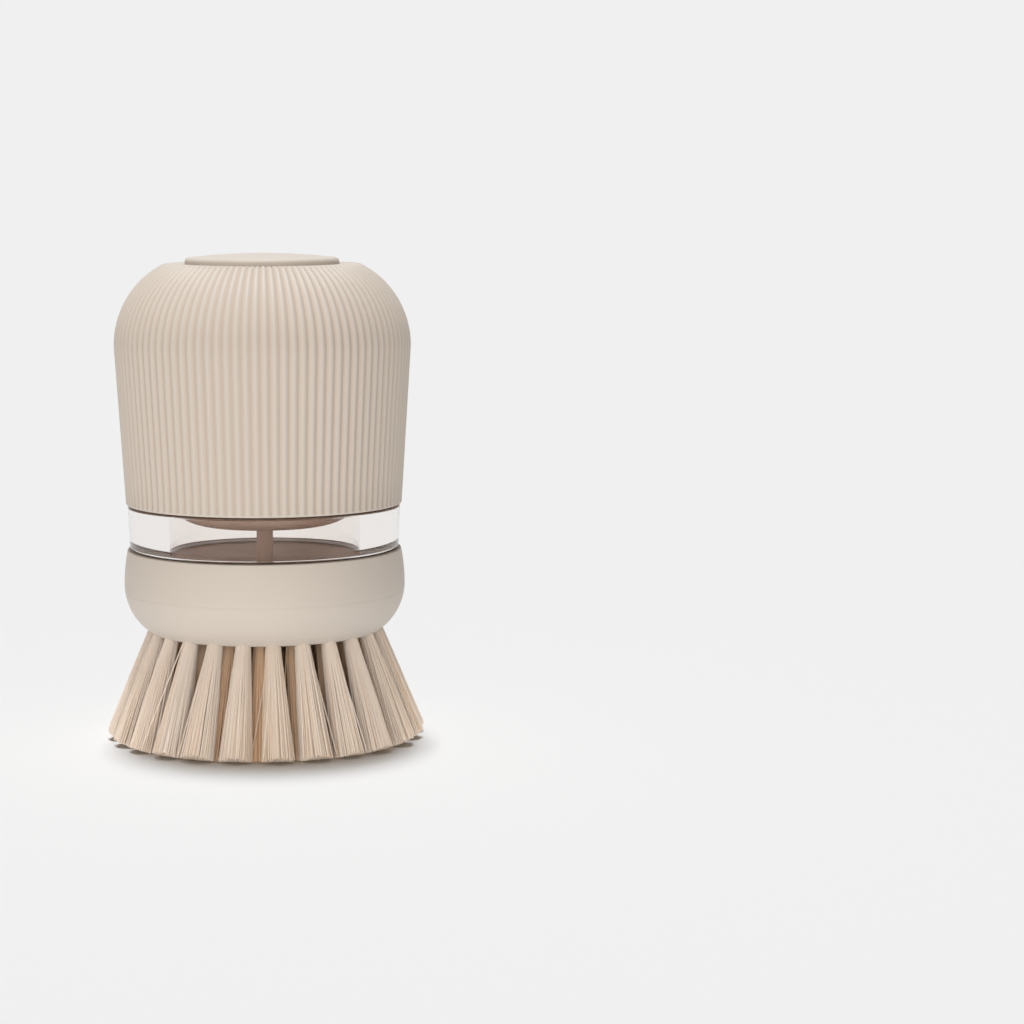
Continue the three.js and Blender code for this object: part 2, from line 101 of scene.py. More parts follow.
GROOVE_FLOOR = COLLAR_TOP - GROOVE_DEPTH
SEAT_RECESS = 11.5 * MM
SEAT_HOLE = 8 * MM
OUTLET_RADIUS = 4.2 * MM
CAGE_POCKET = 10.7 * MM
CAGE_LEDGE = low("valve_cage") - FIT_GAP

# Outlet bush in the soap floor
BUSH_BORE = 4.2 * MM
BUSH_BODY = 7.7 * MM
BUSH_FLANGE = 11.2 * MM
BUSH_FLANGE_THICKNESS = 1.2 * MM
BUSH_FLANGE_BOTTOM = high("valve_seat") - BUSH_FLANGE_THICKNESS
SEAT_RECESS_FLOOR = BUSH_FLANGE_BOTTOM - FIT_GAP
DECK_THICKNESS = 1 * MM
DECK_BOTTOM = SEAT_RECESS_FLOOR - DECK_THICKNESS

# Soap ring
RING_BOTTOM = low("clear_reservoir")
RIM_GAP = 0.5 * MM
RING_SHOULDER = low("grip_shell") - RIM_GAP
RING_FOOT_RADIUS = 33.4 * MM
RING_FOOT_ROUND = 0.6 * MM
RING_TOP_RADIUS = 33.9 * MM
NECK_RADIUS = 29.9 * MM
NECK_TOP = high("clear_reservoir")

# Lid
LID_PLUG = 23.3 * MM
LID_FLANGE = 29.9 * MM
LID_BOTTOM = high("lid_seal") + FIT_GAP
LID_TOP = high("reservoir_lid")
LID_WALL = 1.8 * MM
PLUG_DEPTH = 8.4 * MM
PLUG_BOTTOM = LID_BOTTOM - PLUG_DEPTH
DISH_BOTTOM = low("reservoir_lid")
DISH_FOOT = 9.5 * MM
DISH_FLARE = 12.5 * MM
ROD_BORE = 2.35 * MM
WIPER_POCKET = 4.35 * MM
WIPER_LEDGE = 1.5 * MM
WIPER_FLOOR = DISH_BOTTOM + WIPER_LEDGE
WIPER_SLEEVE = 6.7 * MM
WIPER_TOP = DISH_BOTTOM + WIPER_SLEEVE

# Grip
GRIP_RIM = low("grip_shell")
LAND_TOP = high("grip_shell")
RIM_RADIUS = 34.25 * MM
GRIP_RADIUS = 36.7 * MM
GRIP_WALL = 2.2 * MM
DOME_HEIGHT = 20.2 * MM
DOME_OVERRUN = 2.1 * MM
DOME_REACH = 21.6 * MM
DOME_END_ANGLE = math.asin(DOME_HEIGHT / (DOME_HEIGHT + DOME_OVERRUN))
DOME_END = GRIP_RADIUS - DOME_REACH * (1 - math.cos(DOME_END_ANGLE))
LAND_WIDTH = 4.9 * MM
BUTTON_HOLE = DOME_END - LAND_WIDTH
RIB_SOFTNESS = 1.4

# Button and rod
BUTTON_RADIUS = BUTTON_HOLE - FIT_GAP
BUTTON_STAND = 1.5 * MM
BUTTON_EDGE = LAND_TOP + BUTTON_STAND
BUTTON_TOP = high("press_button")
BUTTON_WALL = 2.2 * MM
BUTTON_UNDERSIDE = BUTTON_EDGE - BUTTON_WALL
BUTTON_ROUND = 1 * MM
SKIRT_BORE = BUTTON_RADIUS - BUTTON_WALL
FLANGE_WIDTH = 1.8 * MM
FLANGE_RADIUS = BUTTON_RADIUS + FLANGE_WIDTH
FLANGE_TOP = low("button_retainer") - FIT_GAP
FLANGE_THICKNESS = 1.8 * MM
FLANGE_BOTTOM = FLANGE_TOP - FLANGE_THICKNESS
BOSS_RADIUS = 4.35 * MM
BOSS_BOTTOM = low("press_button")
ROD_RADIUS = 2.05 * MM

# Rings of tufts, from the axis outwards; angles are in degrees, and filaments are those of one tuft
TuftRing = namedtuple("TuftRing", "node radius tufts first_angle lean filaments")
TUFT_RINGS = (
    TuftRing("core_tufts", 7.4 * MM, 6, 3.9, 3, 120),
    TuftRing("inner_tufts", 14.4 * MM, 12, 3.9, 12, 180),
    TuftRing("middle_tufts", 22.2 * MM, 18, 12.2, 17.5, 300),
    TuftRing("outer_tufts", 26.7 * MM, 24, 8.5, 17.9, 400),
)

# Filaments
FILAMENT_SIDES = 4
FILAMENT_SPANS = 2
FILAMENT_EMBED = 2.5 * MM
FILAMENT_BOW = 0.1 * MM
FLAT_TIP_RADIUS = 34 * MM
TIP_ROUND = 10.5 * MM
TUFT_SWAY = 0.3 * MM
LEAST_FAN = 0.94
MOST_FAN = 1.04
SIDEWAYS_FAN = 0.95
STRAY_SHARE = 0.025
STRAY_REACH = 9
GOLDEN_ANGLE = math.pi * (3 - math.sqrt(5))
BRISTLE_SEED = 7

# Springs, with the radius of the coil and of its wire
Spring = namedtuple("Spring", "piece node body joint radius wire turns travel")
SPRINGS = (
    Spring("button_spring", "return_spring", "grip", "button_press", 9.5 * MM, 0.6 * MM, 6, 3 * MM),
    Spring("valve_coil", "valve_spring", "head", "valve_open", 4.2 * MM, 0.3 * MM, 3, 3.1 * MM),
)
WIRE_SIDES = 10
COIL_STEPS = 32

# Lamps in the row above the brush
TOP_LAMPS = 4

# Smoothness
SPIN_STEPS = 160
SMALL_STEPS = 64
ROD_STEPS = 40
POINTS_PER_RIB = 8
FILLET_STEPS = 4
ARC_STEPS = 18
DOME_STEPS = 26
WALL_STEPS = 6
INNER_DOME_STEPS = 8
MERGE_DISTANCE = 0.001 * MM
SHARP_ANGLE = math.radians(38)

# Patterns in the finishes, in features to the metre
CREAM_DRIFT = 45
CREAM_GRAIN = 6500
NYLON_STREAKS = 1400
CLEAR_WAVES = 90
TAN_DRIFT = 120
TAN_GRAIN = 4000
SEAL_MOTTLE = 700
STEEL_MARKS = 2500
FINE_DETAIL = 3
PLAIN_DETAIL = 1
STREAK_STRETCH = (1, 1, 0.08)
MARK_STRETCH = (1, 1, 4)

# Depth of the patterns in the surface
CREAM_RELIEF = 0.012 * MM
NYLON_RELIEF = 0.02 * MM
CLEAR_RELIEF = 0.01 * MM
TAN_RELIEF = 0.008 * MM
SEAL_RELIEF = 0.02 * MM
STEEL_RELIEF = 0.004 * MM

# Roughness: the least of it, and what the pattern adds
CREAM_ROUGHNESS = (0.5, 0.16)
NYLON_ROUGHNESS = (0.42, 0.2)
CLEAR_ROUGHNESS = (0.01, 0.02)
INNER_ROUGHNESS = (0.32, 0.12)
SOAP_FLOOR_ROUGHNESS = (0.42, 0.12)
JOINT_SHADE_ROUGHNESS = (0.4, 0.12)
SEAL_ROUGHNESS = (0.6, 0.2)
STEEL_ROUGHNESS = (0.22, 0.15)

# Shares of light and tone in the finishes
CREAM_SHEEN = 0.4
CREAM_GRAIN_SHARE = 0.3
TAN_SHEEN = 0.15
CLEAR_SHEEN = (0.3, 0.3, 0.3)
CLEAR_REFRACTION = 1.49
SEAL_SHADE = 0.9
STEEL_SHADE = 0.85
BRISTLE_GLOW = 0.5
TONE_CURVE = 0.4
STREAK_SHARE = 0.15
# Shares of painted shade towards the filaments' roots
OUTER_PAINTED_ROOT_SHADE = 0.1
INNER_PAINTED_ROOT_SHADE = 0.15

# Curve of display colours
DISPLAY_WHITE = 255
CURVE_OFFSET = 0.055
CURVE_POWER = 2.4

# Numbers of sockets: a noise's value, those of a colour mixer and those of a shader mixer
NOISE_VALUE = 0
MIX_SHARE, MIX_FIRST, MIX_SECOND, MIX_COLOUR = 0, 6, 7, 2
BLEND_SHARE, BLEND_FIRST, BLEND_SECOND = 0, 1, 2


def linear(red, green, blue):
    """Scene linear colour of a display colour given as three numbers from 0 to 255."""
    shares = [channel / DISPLAY_WHITE for channel in (red, green, blue)]
    return tuple(((share + CURVE_OFFSET) / (1 + CURVE_OFFSET)) ** CURVE_POWER for share in shares)


def colour_property(name, description, default):
    """A colour that a user may change."""
    return FloatVectorProperty(
        name=name, description=description, default=default, subtype="COLOR", min=0, max=1
    )


def length_property(name, description, default):
    """A length that a user may change."""
    return FloatProperty(
        name=name, description=description, default=default, min=0, unit="LENGTH", precision=5
    )


class BrushSizes(bpy.types.PropertyGroup):
    """Sizes of the brush that leave its frame as it is."""

    rib_count: IntProperty(
        name="Ribs", description="Ribs round the grip", default=98, min=12, max=200
    )
    rib_depth: length_property("Rib depth", "Depth of the ribs at the widest level", 0.42 * MM)
    edge_round: length_property("Edge round", "Rounding of moulded edges", 0.35 * MM)
    rib_runout: length_property("Rib run-out", "Plain lip under the ribs at the rim", 0.5 * MM)
    parting_round: length_property("Parting line", "Rounding at the line between base halves", 0.05 * MM)
    foot_round: length_property("Foot round", "Rounding at the underside of the base", 1.2 * MM)
    tuft_root: length_property("Tuft root", "Radius of a tuft at the block", 1.55 * MM)
    tuft_tip: length_property("Tuft tip", "Radius of a tuft at its tips", 4 * MM)
    filament_radius: length_property("Filament", "Radius of one filament", 0.18 * MM)
    tip_stray: length_property("Tip stray", "How far a tip strays from its place", 0.22 * MM)
    tip_ragged: length_property("Tip raggedness", "How far tips end above the floor", 0.25 * MM)


class BrushColours(bpy.types.PropertyGroup):
    """Colours of the brush's materials."""

    cream: colour_property("Cream", "Moulded plastic of grip and base", linear(210, 201, 191))
    cream_shade: colour_property("Cream shade", "Darker drift in the plastic", linear(203, 194, 184))
    # Painted shade in the grooves between the ribs
    painted_groove_shade: colour_property("Grooves", "Shade between the ribs", linear(196, 182, 168))
    bristle_light: colour_property("Bristle light", "Palest filaments", linear(255, 253, 250))
    bristle_glow: colour_property("Bristle glow", "Light through filaments", linear(254, 247, 238))
    bristle_dark: colour_property("Bristle dark", "Darkest filaments", linear(246, 222, 196))
    # Painted warmth: the same nylon as the outer ring, tinted as if lit only through it
    painted_inner_warmth: colour_property("Bristle inside", "Filaments inside the outer ring", linear(255, 237, 213))
    # Painted shade of the filaments towards the block
    painted_root_shade: colour_property("Bristle roots", "Shade of filaments at the block", linear(92, 52, 24))
    clear: colour_property("Clear ring", "Tint of the clear plastic", linear(249, 245, 242))
    inner: colour_property("Inner plastic", "Lid, rod and other inner pieces", linear(213, 188, 172))
    inner_shade: colour_property("Inner shade", "Darker drift in the inner plastic", linear(198, 172, 154))
    soap_floor: colour_property("Soap floor", "Floor of the soap room", linear(244, 214, 194))
    seal: colour_property("Seals", "Silicone of seals and washers", linear(200, 190, 182))
    steel: colour_property("Steel", "Springs and screws", linear(196, 198, 201))


class StageSettings(bpy.types.PropertyGroup):
    """Floor, light and camera."""

    floor: colour_property("Floor", "Pale floor and background", linear(240, 240, 240))
    sky: FloatVectorProperty(
        name="Sky", description="Even light from all sides", default=(0.178, 0.149, 0.119), subtype="COLOR"
    )
    top_light: FloatVectorProperty(
        name="Top light", description="Soft light from above", default=(0.83, 0.86, 0.89), subtype="COLOR"
    )
    top_lean: FloatProperty(
        name="Top lean", description="How far behind the brush the row of lamps above it reaches",
        default=math.radians(12), subtype="ANGLE"
    )
    top_side: FloatProperty(
        name="Top side", description="How far to the left of the brush the lamps above it are",
        default=math.radians(1.4), subtype="ANGLE"
    )
    top_spread: FloatProperty(
        name="Top spread", description="Angle that each lamp above the brush covers",
        default=math.radians(8), min=0, subtype="ANGLE"
    )
    fill_light: FloatVectorProperty(
        name="Fill light", description="Fill light from the left front",
        default=(0.545, 0.52, 0.495), subtype="COLOR"
    )
    fill_from: FloatVectorProperty(
        name="Fill light from", description="Direction the fill light comes from",
        default=(-0.16, -0.98, 0.1), subtype="DIRECTION"
    )
    fill_spread: FloatProperty(
        name="Fill spread", description="Angle the fill light covers",
        default=math.radians(90), min=0, subtype="ANGLE"
    )
    camera_place: FloatVectorProperty(
        name="Camera", description="Place of the camera", default=(0.0618, -0.731, 0.142), unit="LENGTH"
    )
    camera_pitch: FloatProperty(
        name="Camera pitch", description="How far the camera looks down",
        default=math.radians(6.67), subtype="ANGLE"
    )
    camera_lens: FloatProperty(
        name="Lens", description="Focal length in millimetres", default=103.6, min=1, unit="CAMERA"
    )
    floor_size: length_property("Floor size", "Length of the floor's sides", 60)


class Field:
    """A shader value in Python arithmetic: each operator adds a Math node."""

    def __init__(self, tree, socket):
        self.tree = tree
        self.socket = socket

    def combine(self, operation, first, second):
        """The result of a Math node on two values."""
        node = self.tree.nodes.new("ShaderNodeMath")
        node.operation = operation
        for place, term in zip(node.inputs, (first, second)):
            plug(self.tree, place, term)
        return Field(self.tree, node.outputs["Value"])

    def __add__(self, other):
        return self.combine("ADD", self, other)

    def __mul__(self, other):
        return self.combine("MULTIPLY", self, other)

    def __truediv__(self, other):
        return self.combine("DIVIDE", self, other)

    def __pow__(self, other):
        return self.combine("POWER", self, other)

    __radd__ = __add__
    __rmul__ = __mul__


def plug(tree, place, value):
    """Links a field to a socket, or sets the socket to a plain value."""
    if isinstance(value, Field):
        tree.links.new(value.socket, place)
    elif hasattr(value, "__len__") and place.type == "RGBA":
        place.default_value = (*value, 1)
    else:
        place.default_value = value


class Finish:
    """Nodes of one material, or of the world, while they are put together."""

    def __init__(self, owner):
        owner.use_nodes = True
        self.owner = owner
        self.tree = owner.node_tree
        self.tree.nodes.clear()

    def node(self, kind, output, settings=None, sockets=None):
        """Adds any node: its settings come first, then the values or links of its sockets."""
        node = self.tree.nodes.new(kind)
        for name, setting in (settings or {}).items():
            setattr(node, name, setting)
        for name, value in (sockets or {}).items():
            plug(self.tree, node.inputs[name], value)
        return Field(self.tree, node.outputs[output]) if output is not None else None

    def place(self):
        """Place of a point in the piece's own space."""
        return self.node("ShaderNodeTexCoord", "Object")

    def attribute(self, name):
        """A value that the mesh carries at its points."""
        return self.node("ShaderNodeAttribute", "Fac", {"attribute_name": name})

    def noise(self, place, scale, detail=2, stretch=(1, 1, 1)):
        """Noise from 0 to 1 with that many features to the metre."""
        stretched = self.node("ShaderNodeMapping", "Vector", None, {"Vector": place, "Scale": stretch})
        sockets = {"Vector": stretched, "Scale": scale, "Detail": detail}
        return self.node("ShaderNodeTexNoise", NOISE_VALUE, None, sockets)

    def mix(self, share, first, second):
        """A colour between two colours."""
        sockets = {MIX_SHARE: share, MIX_FIRST: first, MIX_SECOND: second}
        return self.node("ShaderNodeMix", MIX_COLOUR, {"data_type": "RGBA"}, sockets)

    def blend(self, share, first, second):
        """A shader between two shaders."""
        sockets = {BLEND_SHARE: share, BLEND_FIRST: first, BLEND_SECOND: second}
        return self.node("ShaderNodeMixShader", "Shader", None, sockets)

    def bump(self, height, depth):
        """A normal bent by a height from 0 to 1 that stands for that depth."""
        sockets = {"Strength": 1, "Distance": depth, "Height": height}
        return self.node("ShaderNodeBump", "Normal", None, sockets)

    def principled(self, sockets):
        """A Principled shader."""
        return self.node("ShaderNodeBsdfPrincipled", "BSDF", None, sockets)

    def end(self, shader):
        """Ends the material in a shader and returns the material."""
        self.node("ShaderNodeOutputMaterial", None, None, {"Surface": shader})
        return self.owner

    def surface(self, sockets):
        """Ends the material in a Principled shader and returns the material."""
        return self.end(self.principled(sockets))


def roughened(pattern, roughness):
    """Roughness that a pattern adds to."""
    least, added = roughness
    return least + pattern * added


def darker(colour, share):
    """A share of a colour."""
    return [channel * share for channel in colour]


def once(build):
    """Makes a finish's material the first time it is asked for, and finds it after that."""
    name = f"brush_{build.__name__}"

    def fetch():
        return bpy.data.materials.get(name) or build(Finish(bpy.data.materials.new(name)))
    return fetch


@once
def cream_plastic(finish):
    """Matt moulded plastic with a soft drift of tone, a fine spark-eroded grain, and painted shade in the
    grooves between the ribs.
    """
    colours = bpy.context.scene.brush_colours
    place = finish.place()
    drift = finish.noise(place, CREAM_DRIFT)
    grain = finish.noise(place, CREAM_GRAIN, detail=FINE_DETAIL)
    tone = drift * (1 - CREAM_GRAIN_SHARE) + grain * CREAM_GRAIN_SHARE
    plain_colour = finish.mix(tone, colours.cream_shade, colours.cream)
    # Painted shade: the grooves between the ribs are darkened by the groove share
    return finish.surface({
        "Base Color": finish.mix(finish.attribute("groove"), plain_colour, colours.painted_groove_shade),
        "Roughness": roughened(grain, CREAM_ROUGHNESS),
        "Normal": finish.bump(grain, CREAM_RELIEF),
        "Specular IOR Level": CREAM_SHEEN,
    })


def nylon(finish, light, dark, through, painted_root_share):
    """Nylon filaments: each has its own tone, and a painted shade darkens them by a share towards their
    roots.
    """
    colours = bpy.context.scene.brush_colours
    tone = finish.attribute("tone")
    place = finish.place()
    streak = finish.noise(place, NYLON_STREAKS, stretch=STREAK_STRETCH)
    level = finish.node("ShaderNodeSeparateXYZ", "Z", None, {"Vector": place})
    share = tone ** TONE_CURVE * (1 - STREAK_SHARE) + streak * STREAK_SHARE
    pale = finish.mix(share, dark, light)
    # Painted shade: filaments darken towards the block, where the shade between tufts falls
    painted_root_mix = (level / BRISTLE_LENGTH) ** 2 * painted_root_share
    solid = finish.principled({
        "Base Color": finish.mix(painted_root_mix, pale, colours.painted_root_shade),
        "Roughness": roughened(streak, NYLON_ROUGHNESS),
        "Normal": finish.bump(streak, NYLON_RELIEF),
    })
    glow = finish.node("ShaderNodeBsdfTranslucent", "BSDF", None, {"Color": through})
    return finish.end(finish.blend(BRISTLE_GLOW, solid, glow))


@once
def outer_fibre(finish):
    """Pale filaments of the outer ring."""
    colours = bpy.context.scene.brush_colours
    glow = colours.bristle_glow
    return nylon(finish, colours.bristle_light, colours.bristle_dark, glow, OUTER_PAINTED_ROOT_SHADE)


@once
def inner_fibre(finish):
    """Filaments inside the outer ring: the same nylon painted warmer, as if lit only through the outer ring,
    and with painted shade near the block.
    """
    colours = bpy.context.scene.brush_colours
    glow = colours.painted_inner_warmth
    return nylon(finish, colours.painted_inner_warmth, colours.bristle_dark, glow, INNER_PAINTED_ROOT_SHADE)


@once
def clear_plastic(finish):
    """Clear moulded plastic with the slightest flow waves."""
    colours = bpy.context.scene.brush_colours
    wave = finish.noise(finish.place(), CLEAR_WAVES, detail=PLAIN_DETAIL)
    return finish.surface({
        "Base Color": colours.clear,
        "Roughness": roughened(wave, CLEAR_ROUGHNESS),
        "Normal": finish.bump(wave, CLEAR_RELIEF),
        "Transmission Weight": 1,
        "Specular Tint": CLEAR_SHEEN,
        "IOR": CLEAR_REFRACTION,
    })


def tan_plastic(finish, light, shade, roughness):
    """Plastic of the inner pieces with a drift between two tones."""
    place = finish.place()
    drift = finish.noise(place, TAN_DRIFT)
    grain = finish.noise(place, TAN_GRAIN)
    return finish.surface({
        "Base Color": finish.mix(drift, shade, light),
        "Roughness": roughened(grain, roughness),
        "Normal": finish.bump(grain, TAN_RELIEF),
        "Specular IOR Level": TAN_SHEEN,
    })


@once
def inner_plastic(finish):
    """Smooth plastic of the lid, the rod and the hidden pieces."""
    colours = bpy.context.scene.brush_colours
    return tan_plastic(finish, colours.inner, colours.inner_shade, INNER_ROUGHNESS)


@once
def soap_floor(finish):
    """Smooth floor of the soap room and its outlet bush."""
    colours = bpy.context.scene.brush_colours
    return tan_plastic(finish, colours.soap_floor, colours.inner, SOAP_FLOOR_ROUGHNESS)


@once
def painted_joint_shade(finish):
    """Opaque tan faces of the clear ring where it meets the base and the rim of the grip: painted shade for
    the dark joint lines seen through the clear plastic.
    """
    colours = bpy.context.scene.brush_colours
    return tan_plastic(finish, colours.inner, colours.inner_shade, JOINT_SHADE_ROUGHNESS)


@once
def silicone(finish):
    """Soft seals, matt and faintly mottled."""
    colours = bpy.context.scene.brush_colours
    mottle = finish.noise(finish.place(), SEAL_MOTTLE)
    return finish.surface({
        "Base Color": finish.mix(mottle, darker(colours.seal, SEAL_SHADE), colours.seal),
        "Roughness": roughened(mottle, SEAL_ROUGHNESS),
        "Normal": finish.bump(mottle, SEAL_RELIEF),
    })


@once
def spring_steel(finish):
    """Drawn steel wire and screws with fine drawing marks."""
    colours = bpy.context.scene.brush_colours
    marks = finish.noise(finish.place(), STEEL_MARKS, stretch=MARK_STRETCH)
    return finish.surface({
        "Base Color": finish.mix(marks, darker(colours.steel, STEEL_SHADE), colours.steel),
        "Metallic": 1,
        "Roughness": roughened(marks, STEEL_ROUGHNESS),
        "Normal": finish.bump(marks, STEEL_RELIEF),
    })


# Finish of the inner parts that keep their frame shape
INNER_PARTS = (
    (inner_plastic, ("valve_cage", "valve_poppet", "grip_core", "button_guide")),
    (silicone, ("poppet_seal", "reservoir_gasket", "lid_seal", "rod_wiper")),
    (cream_plastic, ("button_retainer",)),
    (spring_steel, ("guide_screw_1", "guide_screw_2", "guide_screw_3")),
)


def fillet(before, corner, after, radius):
    """Points of the arc that rounds a corner of an outline."""
    to_before = (before - corner).normalized()
    to_after = (after - corner).normalized()
    half = to_before.angle(to_after) / 2
    centre = corner + (to_before + to_after).normalized() * (radius / math.sin(half))
    setback = radius / math.tan(half)
    first = (corner + to_before * setback - centre).normalized()
    last = (corner + to_after * setback - centre).normalized()
    shares = [step / FILLET_STEPS for step in range(FILLET_STEPS + 1)]
    return [centre + first.slerp(last, share) * radius for share in shares]


def rounded(corners):
    """Closed outline of (radius, height, rounding) corners, with an arc at each rounded corner."""
    outline = []
    for index, (radius, height, rounding) in enumerate(corners):
        corner = Vector((radius, height))
        if not rounding:
            outline.append(corner)
            continue
        before = Vector(corners[index - 1][:2])
        after = Vector(corners[(index + 1) % len(corners)][:2])
        outline.extend(fillet(before, corner, after, rounding))
    return outline


def plain(points):
    """Corners with no rounding."""
    return [(radius, height, 0) for radius, height in points]


def spin_round(bm, geometry, steps):
    """Spins an outline once round the upright axis."""
    bmesh.ops.spin(
        bm, geom=geometry, cent=(0, 0, 0), axis=(0, 0, 1),
        angle=2 * math.pi, steps=steps, use_merge=True,
    )


def spun(outline, steps, closed=True):
    """A bmesh of an outline of (radius, height) points, spun once round the upright axis."""
    bm = bmesh.new()
    verts = [bm.verts.new((radius, 0, height)) for radius, height in outline]
    pairs = list(zip(verts, verts[1:]))
    if closed:
        pairs.append((verts[-1], verts[0]))
    edges = [bm.edges.new(pair) for pair in pairs]
    spin_round(bm, verts + edges, steps)
    tidy_faces(bm)
    return bm


def tidy_faces(bm):
    """Merges doubled vertices and turns every face outwards."""
    bmesh.ops.remove_doubles(bm, verts=bm.verts, dist=MERGE_DISTANCE)
    bmesh.ops.recalc_face_normals(bm, faces=bm.faces)


def mesh_of(name, bm):
    """A mesh made of a bmesh, which is used up."""
    mesh = bpy.data.meshes.new(name)
    bm.to_mesh(mesh)
    bm.free()
    return mesh


def add_object(name, data):
    """Puts an object with its data into the scene."""
    added = bpy.data.objects.new(name, data)
    bpy.context.scene.collection.objects.link(added)
    return added


def add_piece(name, bm, finishes, body, nodes):
    """Makes an object of a bmesh, with its materials, its body and the nodes it stands for."""
    mesh = mesh_of(name, bm)
    if not mesh.polygons:
        raise RuntimeError(f"{name} came out with no faces")
    for finish in finishes:
        mesh.materials.append(finish)
    mesh.shade_smooth()
    mesh.set_sharp_from_angle(angle=SHARP_ANGLE)
    piece = add_object(name, mesh)
    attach(piece, body)
    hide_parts(*nodes)
    return piece


def even_normals(piece):
    """Lets the large faces of a moulded piece shade flat beside their narrow rounded edges."""
    modifier = piece.modifiers.new("even_normals", "WEIGHTED_NORMAL")
    modifier.keep_sharp = True


def dome_arc(depth, steps):
    """Points of the dome's outline from its widest level to the land, at a depth under the surface."""
    reach = DOME_REACH - depth
    rise = DOME_HEIGHT + DOME_OVERRUN - depth
    end = math.asin((DOME_HEIGHT - depth) / rise)
    start_level = LAND_TOP - DOME_HEIGHT
    points = []
    for step in range(steps + 1):
        angle = end * step / steps
        radius = GRIP_RADIUS - DOME_REACH + reach * math.cos(angle)
        points.append((radius, start_level + rise * math.sin(angle)))
    return points


def wall_line(start):
    """Points up the grip's straight side, from a level near the rim to below the widest level."""
    widest = LAND_TOP - DOME_HEIGHT
    slope = (GRIP_RADIUS - RIM_RADIUS) / (widest - GRIP_RIM)
    levels = [start + (widest - start) * step / WALL_STEPS for step in range(WALL_STEPS)]
    return [(RIM_RADIUS + slope * (level - GRIP_RIM), level) for level in levels]


def grip_outline(edge, runout):
    """Outlines of the grip's wall: the stretch that carries ribs, and the rest that closes it."""
    hole = rounded([
        (DOME_END, LAND_TOP, 0),
        (BUTTON_HOLE, LAND_TOP, edge),
        (BUTTON_HOLE, LAND_TOP - GRIP_WALL, 0),
    ])
    ribbed = [*wall_line(GRIP_RIM + edge + runout), *dome_arc(0, DOME_STEPS), *hole[1:-2]]
    rim = rounded([
        (RIM_RADIUS - GRIP_WALL, GRIP_RIM, 0),
        (RIM_RADIUS, GRIP_RIM, edge),
        (GRIP_RADIUS, LAND_TOP - DOME_HEIGHT, 0),
    ])[:-1]
    return ribbed, [*hole[-2:], *reversed(dome_arc(GRIP_WALL, INNER_DOME_STEPS)), *rim]


def press_ribs(bm, ribbing, sizes):
    """Presses rounded ribs along the surface into the vertices that carry them."""
    groove = bm.verts.layers.float.new("groove")
    bm.normal_update()
    for vert in bm.verts:
        angle = math.atan2(vert.co.x, -vert.co.y)
        crest = abs(math.sin(sizes.rib_count * angle / 2)) ** RIB_SOFTNESS
        # The groove share also masks the painted shade between the ribs in the cream finish
        vert[groove] = (1 - crest) * vert[ribbing]
        depth = sizes.rib_depth * math.sqrt(vert.co.xy.length / GRIP_RADIUS)
        vert.co -= vert.normal * depth * vert[groove]


def ribbed_shell(sizes):
    """Grip's shell: the outline is spun with a few points to each rib, then the ribs go in."""
    ribbed, plain_rest = grip_outline(sizes.edge_round, sizes.rib_runout)
    bm = bmesh.new()
    ribbing = bm.verts.layers.float.new("ribbing")
    verts = [bm.verts.new((radius, 0, height)) for radius, height in [*ribbed, *plain_rest]]
    for vert in verts[:len(ribbed)]:
        vert[ribbing] = 1
    edges = [bm.edges.new(pair) for pair in zip(verts, verts[1:] + verts[:1])]
    spin_round(bm, verts + edges, sizes.rib_count * POINTS_PER_RIB)
    bmesh.ops.rotate(
        bm, verts=bm.verts, cent=(0, 0, 0), matrix=Matrix.Rotation(-math.pi / 2, 3, "Z")
    )
    tidy_faces(bm)
    press_ribs(bm, ribbing, sizes)
    return bm


class DISHBRUSH_OT_grip(bpy.types.Operator):
    """Build the ribbed shell of the grip"""

    bl_idname = "dish_brush.grip"
    bl_label = "Ribbed grip"

    def execute(self, context):
        bm = ribbed_shell(context.scene.brush_sizes)
        add_piece("ribbed_grip", bm, [cream_plastic()], "grip", ["grip_shell"])
        return {"FINISHED"}


def crown_arc(reach):
    """Points of the button's crown, from its edge to the middle."""
    points = []
    for step in range(ARC_STEPS + 1):
        share = 1 - step / ARC_STEPS
        level = BUTTON_EDGE + (BUTTON_TOP - BUTTON_EDGE) * (1 - share ** 2)
        points.append((reach * share, level))
    return points


def button_outline(edge):
    """Outline of the button from the axis under its cap to the middle of its crown."""
    crown_reach = BUTTON_RADIUS - BUTTON_ROUND
    crown = crown_arc(crown_reach)
    # The last corner only gives the rounding of the edge its direction
    corners = [
        (0, BUTTON_UNDERSIDE, 0),
        (ROD_BORE, BUTTON_UNDERSIDE, 0),
        (ROD_BORE, BOSS_BOTTOM, 0),
        (BOSS_RADIUS, BOSS_BOTTOM, edge),
        (BOSS_RADIUS, BUTTON_UNDERSIDE, 0),
        (SKIRT_BORE, BUTTON_UNDERSIDE, edge),
        (SKIRT_BORE, FLANGE_BOTTOM, 0),
        (FLANGE_RADIUS, FLANGE_BOTTOM, edge),
        (FLANGE_RADIUS, FLANGE_TOP, edge),
        (BUTTON_RADIUS, FLANGE_TOP, 0),
        (BUTTON_RADIUS, BUTTON_EDGE, BUTTON_ROUND),
        (crown_reach - edge, crown[1][1], 0),
    ]
    return [*rounded(corners)[:-1], *crown[1:]]


def round_rod(edge):
    """Round rod under the button."""
    foot, top = low("push_rod"), high("push_rod")
    corners = [(0, foot, 0), (ROD_RADIUS, foot, edge), (ROD_RADIUS, top, edge), (0, top, 0)]
    return spun(rounded(corners), ROD_STEPS, closed=False)


